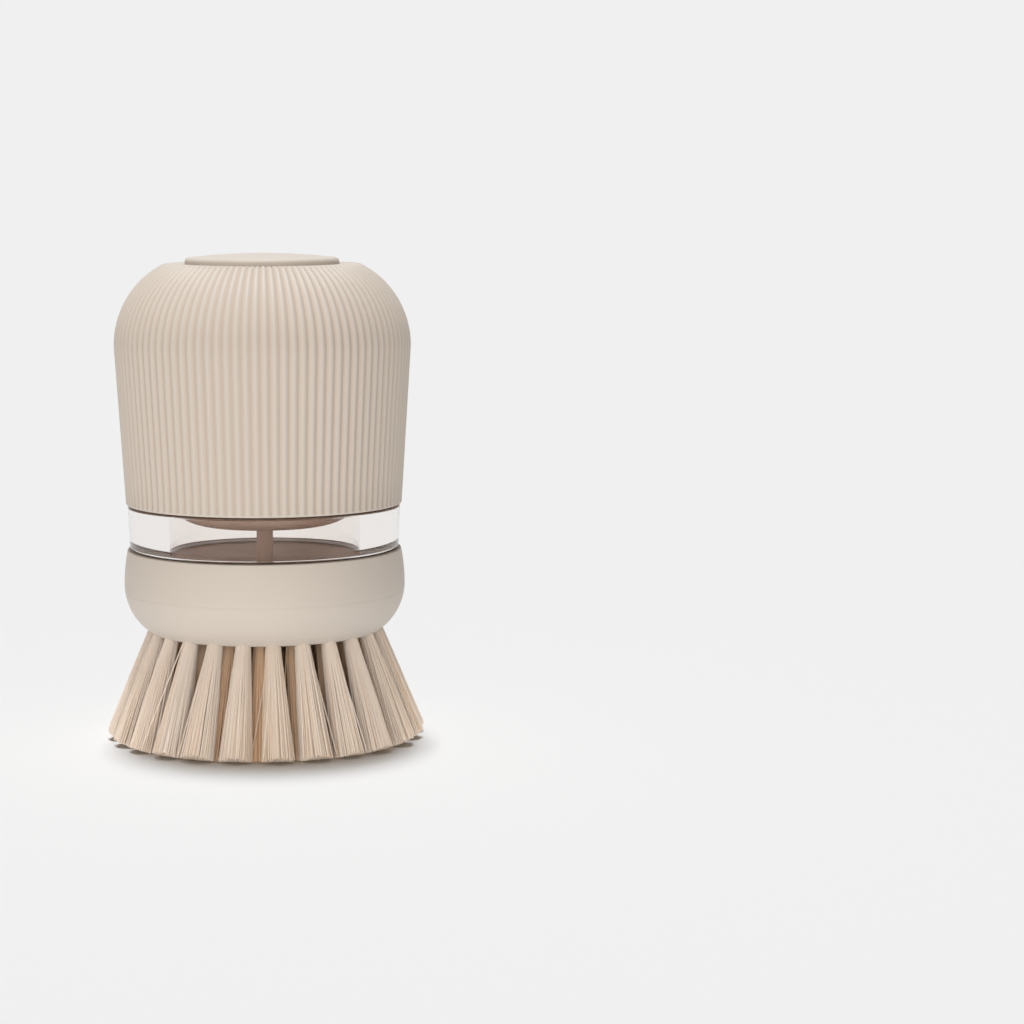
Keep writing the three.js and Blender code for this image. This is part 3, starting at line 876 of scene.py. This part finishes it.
class DISHBRUSH_OT_button(bpy.types.Operator):
    """Build the crowned button and the rod under it"""

    bl_idname = "dish_brush.button"
    bl_label = "Button and rod"

    def execute(self, context):
        edge = context.scene.brush_sizes.edge_round
        bm = spun(button_outline(edge), SPIN_STEPS, closed=False)
        button = add_piece(
            "palm_button", bm, [cream_plastic()], "button", ["press_button"]
        )
        even_normals(button)
        add_piece(
            "button_rod", round_rod(edge), [inner_plastic()], "button", ["push_rod"]
        )
        return {"FINISHED"}


def clear_ring(edge):
    """Clear ring with its neck; its faces at the base and at the grip's rim take the second finish, an
    opaque painted shade.
    """
    bm = spun(rounded([
        (SOAP_BORE, RING_BOTTOM, 0),
        (RING_FOOT_RADIUS, RING_BOTTOM, RING_FOOT_ROUND),
        (RING_TOP_RADIUS, RING_SHOULDER, edge),
        (NECK_RADIUS, RING_SHOULDER, edge),
        (NECK_RADIUS, NECK_TOP, edge),
        (SOAP_BORE, NECK_TOP, edge),
    ]), SPIN_STEPS)
    # The faces that meet the base and the grip's rim get the painted joint shade
    for face in bm.faces:
        level = face.calc_center_median().z
        meets = min(abs(level - RING_BOTTOM), abs(level - RING_SHOULDER)) < MERGE_DISTANCE
        face.material_index = int(meets)
    return bm


class DISHBRUSH_OT_soap_ring(bpy.types.Operator):
    """Build the thick clear soap ring with its neck"""

    bl_idname = "dish_brush.soap_ring"
    bl_label = "Soap ring"

    def execute(self, context):
        bm = clear_ring(context.scene.brush_sizes.edge_round)
        finishes = [clear_plastic(), painted_joint_shade()]
        ring = add_piece("soap_window", bm, finishes, "head", ["clear_reservoir"])
        even_normals(ring)
        return {"FINISHED"}


def dish_arc(inset):
    """Points of the dished boss under the lid, from its flat foot out to the plug."""
    points = []
    for step in range(ARC_STEPS + 1):
        angle = math.pi / 2 * step / ARC_STEPS
        radius = DISH_FOOT + DISH_FLARE * math.sin(angle) - inset
        depth = PLUG_BOTTOM - DISH_BOTTOM
        points.append((radius, PLUG_BOTTOM + inset - depth * math.cos(angle)))
    return points


def dished_lid(edge):
    """Lid that plugs the soap ring, with a sleeve for the rod's wiper on the inside of its dish."""
    sleeve = WIPER_POCKET + LID_WALL
    return spun(rounded([
        (ROD_BORE, DISH_BOTTOM, 0),
        *plain(dish_arc(0)),
        (LID_PLUG, PLUG_BOTTOM, edge),
        (LID_PLUG, LID_BOTTOM, 0),
        (LID_FLANGE, LID_BOTTOM, edge),
        (LID_FLANGE, LID_TOP, edge),
        (LID_PLUG - LID_WALL, LID_TOP, edge),
        (LID_PLUG - LID_WALL, PLUG_BOTTOM + LID_WALL, 0),
        *plain(reversed(dish_arc(LID_WALL))),
        (sleeve, DISH_BOTTOM + LID_WALL, 0),
        (sleeve, WIPER_TOP, edge),
        (WIPER_POCKET, WIPER_TOP, edge),
        (WIPER_POCKET, WIPER_FLOOR, 0),
        (ROD_BORE, WIPER_FLOOR, 0),
    ]), SPIN_STEPS)


class DISHBRUSH_OT_lid(bpy.types.Operator):
    """Build the lid of the soap room with its dished underside"""

    bl_idname = "dish_brush.lid"
    bl_label = "Dished lid"

    def execute(self, context):
        bm = dished_lid(context.scene.brush_sizes.edge_round)
        lid = add_piece("dished_lid", bm, [inner_plastic()], "grip", ["reservoir_lid"])
        even_normals(lid)
        return {"FINISHED"}


def base_radius(level):
    """Radius of the base's outline at a level: two arcs that meet at the widest level."""
    end, draw_in = (
        (BRISTLE_LENGTH, FOOT_DRAW_IN) if level < WIDEST_LEVEL else (COLLAR_TOP, RIM_DRAW_IN)
    )
    length = abs(end - WIDEST_LEVEL)
    radius = (length ** 2 + draw_in ** 2) / (2 * draw_in)
    return BASE_RADIUS - radius + math.sqrt(radius ** 2 - (level - WIDEST_LEVEL) ** 2)


def base_arc(start, end):
    """Points of the base's outline between two levels, without its ends."""
    levels = [start + (end - start) * step / ARC_STEPS for step in range(1, ARC_STEPS)]
    return plain([(base_radius(level), level) for level in levels])


def soap_floor_level(radius):
    """Level of the funnel-shaped soap floor at a radius."""
    return SOAP_FLOOR_EDGE - (SOAP_BORE - radius) * math.tan(SOAP_FLOOR_ANGLE)


def upper_base(sizes):
    """Collar with the soap floor, the gasket's groove and the recess of the outlet bush."""
    edge = sizes.edge_round
    bm = spun(rounded([
        (SEAT_HOLE, DECK_BOTTOM, 0),
        (COLLAR_INNER, DECK_BOTTOM, 0),
        (COLLAR_INNER, SPLIT_LINE, 0),
        (base_radius(SPLIT_LINE), SPLIT_LINE, sizes.parting_round),
        *base_arc(SPLIT_LINE, COLLAR_TOP),
        (base_radius(COLLAR_TOP), COLLAR_TOP, edge),
        (GROOVE_OUTER, COLLAR_TOP, 0),
        (GROOVE_OUTER, GROOVE_FLOOR, 0),
        (GROOVE_INNER, GROOVE_FLOOR, 0),
        (GROOVE_INNER, COLLAR_TOP, 0),
        (SOAP_BORE, COLLAR_TOP, 0),
        (SOAP_BORE, SOAP_FLOOR_EDGE, 0),
        (SEAT_RECESS, soap_floor_level(SEAT_RECESS), 0),
        (SEAT_RECESS, SEAT_RECESS_FLOOR, 0),
        (SEAT_HOLE, SEAT_RECESS_FLOOR, 0),
    ]), SPIN_STEPS)
    for face in bm.faces:
        middle = face.calc_center_median()
        face.material_index = int(middle.z > DECK_BOTTOM and middle.xy.length < GROOVE_OUTER)
    return bm


def lower_base(sizes):
    """Brush block with the spigot that centres the collar, the valve's pocket and the soap outlet."""
    edge = sizes.edge_round
    return spun(rounded([
        (OUTLET_RADIUS, BRISTLE_LENGTH, edge),
        (base_radius(BRISTLE_LENGTH), BRISTLE_LENGTH, sizes.foot_round),
        *base_arc(BRISTLE_LENGTH + sizes.foot_round, SPLIT_LINE),
        (base_radius(SPLIT_LINE), SPLIT_LINE, sizes.parting_round),
        (SPIGOT_RADIUS, SPLIT_LINE, 0),
        (SPIGOT_RADIUS, SPIGOT_TOP, edge),
        (SPIGOT_RADIUS - SPIGOT_WALL, SPIGOT_TOP, edge),
        (SPIGOT_RADIUS - SPIGOT_WALL, SPLIT_LINE, 0),
        (CAGE_POCKET, SPLIT_LINE, edge),
        (CAGE_POCKET, CAGE_LEDGE, 0),
        (OUTLET_RADIUS, CAGE_LEDGE, 0),
    ]), SPIN_STEPS)


def outlet_bush(edge):
    """Bush in the soap floor that the valve closes from below."""
    return spun(rounded([
        (BUSH_BORE, low("valve_seat"), 0),
        (BUSH_BODY, low("valve_seat"), edge),
        (BUSH_BODY, BUSH_FLANGE_BOTTOM, 0),
        (BUSH_FLANGE, BUSH_FLANGE_BOTTOM, 0),
        (BUSH_FLANGE, soap_floor_level(BUSH_FLANGE), 0),
        (BUSH_BORE, soap_floor_level(BUSH_BORE), edge),
    ]), SMALL_STEPS)


class DISHBRUSH_OT_base(bpy.types.Operator):
    """Build both halves of the base and the outlet bush in its soap floor"""

    bl_idname = "dish_brush.base"
    bl_label = "Base"

    def execute(self, context):
        sizes = context.scene.brush_sizes
        upper = add_piece(
            "upper_base", upper_base(sizes), [cream_plastic(), soap_floor()],
            "head", ["base_collar"],
        )
        lower = add_piece(
            "lower_base", lower_base(sizes), [cream_plastic()],
            "head", ["brush_block"],
        )
        bush = add_piece(
            "outlet_bush", outlet_bush(sizes.edge_round), [soap_floor()],
            "head", ["valve_seat"],
        )
        for piece in (upper, lower, bush):
            even_normals(piece)
        return {"FINISHED"}


def filament_blank():
    """Mesh of one plain filament, one unit high, with a layer for its tone."""
    bm = bmesh.new()
    bmesh.ops.create_cone(
        bm, cap_ends=True, segments=FILAMENT_SIDES, radius1=1, radius2=1, depth=1,
        matrix=Matrix.Translation((0, 0, 1 / 2)),
    )
    uprights = [edge for edge in bm.edges if edge.verts[0].co.z != edge.verts[1].co.z]
    bmesh.ops.subdivide_edges(bm, edges=uprights, cuts=FILAMENT_SPANS - 1, use_grid_fill=True)
    bm.verts.layers.float.new("tone")
    return mesh_of("filament_blank", bm)


def arch(share):
    """Height of an arch that is one unit high in its middle, at a share of its length."""
    return 4 * share * (1 - share)


def bend_filament(verts, tone, root, tip, bow, radius, shade):
    """Draws a blank filament out from its tip to its root, with a slight bow on the way."""
    for vert in verts:
        share = vert.co.z
        middle = tip.lerp(root, share) + bow * arch(share)
        vert.co = middle + Vector((vert.co.x, vert.co.y, 0)) * radius
        vert[tone] = shade


def cut_level(reach):
    """Level where a filament is cut, by its reach from the axis: the brush's outer edge is rounded."""
    return max(0, reach - FLAT_TIP_RADIUS) ** 2 / (2 * TIP_ROUND)


def packed(index, count, turn):
    """Place of one of many filaments that fill a disc of radius one evenly."""
    angle = turn + index * GOLDEN_ANGLE
    return Vector((math.cos(angle), math.sin(angle), 0)) * math.sqrt((index + 1 / 2) / count)


def sideways(rng, amount):
    """A random shift along the floor."""
    return Vector((rng.gauss(0, amount), rng.gauss(0, amount), 0))


def strayed(sizes, rng):
    """How far a tip is from its place: a little, and now and then far to the side."""
    aside = sizes.tip_stray * (STRAY_REACH if rng.random() < STRAY_SHARE else 1)
    return Vector((
        rng.gauss(0, sizes.tip_stray), rng.gauss(0, aside), abs(rng.gauss(0, sizes.tip_ragged))
    ))


def tuft_mesh(blank, ring, tip_shift, sizes, rng):
    """Mesh of one tuft at the axis: filaments packed at the root that fan out towards their tips."""
    bm = bmesh.new()
    for _ in range(ring.filaments):
        bm.from_mesh(blank)
    tone = bm.verts.layers.float["tone"]
    verts = list(bm.verts)
    count = len(blank.vertices)
    turn = rng.uniform(0, 2 * math.pi)
    fan = sizes.tuft_tip * rng.uniform(LEAST_FAN, MOST_FAN)
    sway = sideways(rng, TUFT_SWAY)
    for index in range(ring.filaments):
        outward = packed(index, ring.filaments, turn)
        root = outward * sizes.tuft_root + Vector((0, 0, BRISTLE_LENGTH + FILAMENT_EMBED))
        fanned = outward * fan * Vector((1, SIDEWAYS_FAN, 1))
        tip = fanned + tip_shift + sway + strayed(sizes, rng)
        tip = tip.lerp(root, cut_level(ring.radius + tip.x) / root.z)
        bow = sideways(rng, FILAMENT_BOW)
        own = verts[index * count:(index + 1) * count]
        bend_filament(own, tone, root, tip, bow, sizes.filament_radius, rng.random())
    return mesh_of("tuft", bm)


def tuft_ring(blank, ring, sizes, rng):
    """A ring of tufts that lean outwards."""
    bm = bmesh.new()
    length = BRISTLE_LENGTH + FILAMENT_EMBED
    tip_shift = Vector((length * math.tan(math.radians(ring.lean)), 0, 0))
    for index in range(ring.tufts):
        mesh = tuft_mesh(blank, ring, tip_shift, sizes, rng)
        turn = math.radians(ring.first_angle) + 2 * math.pi * index / ring.tufts
        mesh.transform(Matrix.Rotation(turn, 4, "Z") @ Matrix.Translation((ring.radius, 0, 0)))
        bm.from_mesh(mesh)
        bpy.data.meshes.remove(mesh)
    bmesh.ops.recalc_face_normals(bm, faces=bm.faces)
    return bm


class DISHBRUSH_OT_bristles(bpy.types.Operator):
    """Build the rings of tufts from single filaments"""

    bl_idname = "dish_brush.bristles"
    bl_label = "Bristles"

    def execute(self, context):
        sizes = context.scene.brush_sizes
        rng = random.Random(BRISTLE_SEED)
        blank = filament_blank()
        for ring in TUFT_RINGS:
            bm = tuft_ring(blank, ring, sizes, rng)
            fibre = outer_fibre() if ring.node == "outer_tufts" else inner_fibre()
            add_piece(f"{ring.node}_filaments", bm, [fibre], "head", [ring.node])
        bpy.data.meshes.remove(blank)
        return {"FINISHED"}


def coil(spring):
    """Closed coil of round wire between the ends of a spring of the frame."""
    bm = bmesh.new()
    start = Matrix.Translation((spring.radius, 0, low(spring.node) + spring.wire))
    foot = start @ Matrix.Rotation(math.pi / 2, 4, "X")
    bmesh.ops.create_circle(bm, cap_ends=False, radius=spring.wire, segments=WIRE_SIDES, matrix=foot)
    rise = high(spring.node) - low(spring.node) - 2 * spring.wire
    steps = spring.turns * COIL_STEPS
    bmesh.ops.spin(
        bm, geom=bm.verts[:] + bm.edges[:], cent=(0, 0, 0), axis=(0, 0, 1),
        dvec=(0, 0, rise / steps), angle=2 * math.pi * spring.turns, steps=steps,
    )
    ends = [edge for edge in bm.edges if edge.is_boundary]
    bmesh.ops.holes_fill(bm, edges=ends, sides=WIRE_SIDES)
    tidy_faces(bm)
    return bm


class DISHBRUSH_OT_springs(bpy.types.Operator):
    """Build the two coil springs"""

    bl_idname = "dish_brush.springs"
    bl_label = "Springs"

    def execute(self, context):
        for spring in SPRINGS:
            piece = add_piece(
                spring.piece, coil(spring), [spring_steel()],
                spring.body, [spring.node],
            )
            anchor = (0, 0, low(spring.node))
            length = high(spring.node) - low(spring.node)
            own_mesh(piece)
        return {"FINISHED"}


class DISHBRUSH_OT_inner_parts(bpy.types.Operator):
    """Give the inner parts that keep their frame shape their finish"""

    bl_idname = "dish_brush.inner_parts"
    bl_label = "Inner parts"

    def execute(self, context):
        for finish, nodes in INNER_PARTS:
            for node in nodes:
                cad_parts[node].material_slots[0].material = finish()
        return {"FINISHED"}


def floor_finish(colour):
    """Pale floor that takes shadows and can be seen through from below."""
    finish = Finish(bpy.data.materials.new("pale_floor"))
    facing_away = finish.node("ShaderNodeNewGeometry", "Backfacing")
    pale = finish.node("ShaderNodeBsdfDiffuse", "BSDF", None, {"Color": colour})
    clear = finish.node("ShaderNodeBsdfTransparent", "BSDF")
    return finish.end(finish.blend(facing_away, pale, clear))


def add_floor(stage):
    """A wide flat floor at the bristle tips."""
    bm = bmesh.new()
    bmesh.ops.create_grid(bm, x_segments=1, y_segments=1, size=stage.floor_size / 2)
    mesh = mesh_of("floor", bm)
    mesh.materials.append(floor_finish(stage.floor))
    floor = add_object("floor", mesh)
    return floor


def add_sky(stage):
    """Even light from all sides, seen directly and in gloss and glass as the pale background."""
    world = bpy.data.worlds.new("even_sky")
    bpy.context.scene.world = world
    sky = Finish(world)
    rays = ("Is Camera Ray", "Is Glossy Ray", "Is Transmission Ray")
    seen = sum(sky.node("ShaderNodeLightPath", ray) for ray in rays)
    colour = sky.mix(seen, stage.sky, stage.floor)
    light = sky.node("ShaderNodeBackground", "Background", None, {"Color": colour})
    sky.node("ShaderNodeOutputWorld", None, None, {"Surface": light})


def add_lamp(name, colour, direction, spread):
    """A broad soft lamp far away; a white surface that faces it shows the lamp's colour."""
    lamp = bpy.data.lights.new(name, "SUN")
    lamp.energy = math.pi
    lamp.color = colour
    lamp.angle = spread
    holder = add_object(name, lamp)
    holder.rotation_euler = Vector(direction).to_track_quat("Z", "Y").to_euler()
    return holder


def leave_floor_out(lamp, floor):
    """Lets a lamp pass the floor by, so that it draws no second shadow there and lights from low down."""
    unlit = bpy.data.collections.new("unlit_floor")
    unlit.objects.link(floor)
    lamp.light_linking.receiver_collection = unlit
    lamp.light_linking.blocker_collection = unlit
    unlit.collection_objects[0].light_linking.link_state = "EXCLUDE"


def add_light(stage, floor):
    """A row of lamps from above the brush to behind it, and a fill light from the left front."""
    share = [channel / TOP_LAMPS for channel in stage.top_light]
    for index in range(TOP_LAMPS):
        lean = stage.top_lean * (index + 1) / TOP_LAMPS
        direction = (-math.tan(stage.top_side), math.tan(lean), 1)
        add_lamp("top_light", share, direction, stage.top_spread)
    fill = add_lamp("fill_light", stage.fill_light, stage.fill_from, stage.fill_spread)
    leave_floor_out(fill, floor)


def add_camera(stage):
    """Camera in front of the brush, a little above it."""
    lens = bpy.data.cameras.new("camera")
    lens.lens = stage.camera_lens
    camera = add_object("camera", lens)
    camera.location = stage.camera_place
    camera.rotation_euler = (math.pi / 2 - stage.camera_pitch, 0, 0)
    bpy.context.scene.camera = camera


class DISHBRUSH_OT_stage(bpy.types.Operator):
    """Set up the floor, the light and the camera"""

    bl_idname = "dish_brush.stage"
    bl_label = "Stage"

    def execute(self, context):
        stage = context.scene.brush_stage
        context.scene.view_settings.view_transform = "Standard"
        floor = add_floor(stage)
        add_sky(stage)
        add_light(stage, floor)
        add_camera(stage)
        return {"FINISHED"}


class DISHBRUSH_PT_sidebar(bpy.types.Panel):
    """Sizes, colours and building steps of the dish brush"""

    bl_idname = "DISHBRUSH_PT_sidebar"
    bl_label = "Dish Brush"
    bl_space_type = "VIEW_3D"
    bl_region_type = "UI"
    bl_category = "Dish Brush"

    def draw(self, context):
        scene = context.scene
        for settings in (scene.brush_sizes, scene.brush_colours, scene.brush_stage):
            column = self.layout.column()
            for name in settings.__annotations__:
                column.prop(settings, name)
        for operator in OPERATORS:
            self.layout.operator(operator.bl_idname)


SETTINGS = (
    ("brush_sizes", BrushSizes),
    ("brush_colours", BrushColours),
    ("brush_stage", StageSettings),
)
OPERATORS = (
    DISHBRUSH_OT_stage,
    DISHBRUSH_OT_grip,
    DISHBRUSH_OT_button,
    DISHBRUSH_OT_soap_ring,
    DISHBRUSH_OT_lid,
    DISHBRUSH_OT_base,
    DISHBRUSH_OT_bristles,
    DISHBRUSH_OT_springs,
    DISHBRUSH_OT_inner_parts,
)


def register():
    """Registers the settings, the operators and the panel."""
    for name, group in SETTINGS:
        bpy.utils.register_class(group)
        setattr(bpy.types.Scene, name, PointerProperty(type=group))
    for operator in OPERATORS:
        bpy.utils.register_class(operator)
    bpy.utils.register_class(DISHBRUSH_PT_sidebar)


def unregister():
    """Takes the panel, the operators and the settings away again."""
    bpy.utils.unregister_class(DISHBRUSH_PT_sidebar)
    for operator in reversed(OPERATORS):
        bpy.utils.unregister_class(operator)
    for name, group in reversed(SETTINGS):
        delattr(bpy.types.Scene, name)
        bpy.utils.unregister_class(group)


def main():
    """Builds every piece."""
    register()
    for operator in OPERATORS:
        group, step = operator.bl_idname.split(".")
        getattr(getattr(bpy.ops, group), step)()


if __name__ == "__main__":
    main()
